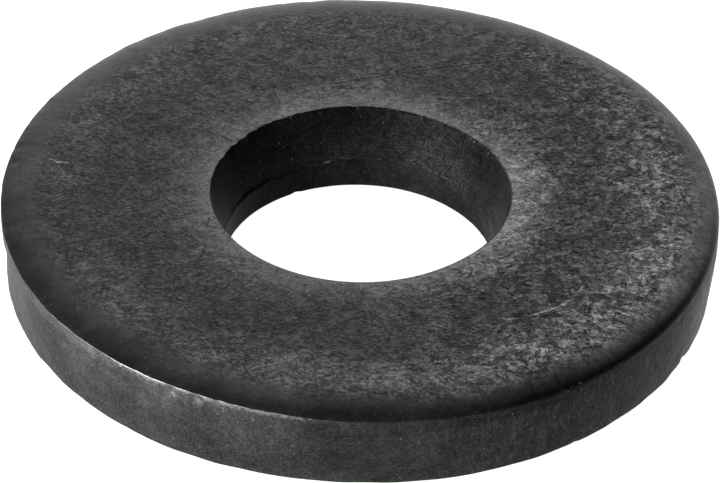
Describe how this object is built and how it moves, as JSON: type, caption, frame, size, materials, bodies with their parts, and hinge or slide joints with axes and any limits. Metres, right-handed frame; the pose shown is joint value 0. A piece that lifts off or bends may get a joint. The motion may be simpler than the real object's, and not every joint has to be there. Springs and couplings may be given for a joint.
{
  "type": "flat washer",
  "caption": "Thick round flat washer in blackened steel that spreads the clamping load of a bolt head or nut.",
  "frame": {"origin": "centre of the hole in the plane of the underside", "axes": "+Z along the washer's axis, up out of the face with the rolled outer edge; +X and +Y lie across the washer, +X along the plate's rolling direction"},
  "size_m": [0.04, 0.04, 0.005],
  "materials": {
    "black_steel": "black oxide over tumbled steel, satin, worn at the edges"
  },
  "bodies": {
    "root": {"washer": "black_steel"}
  },
  "joints": []
}
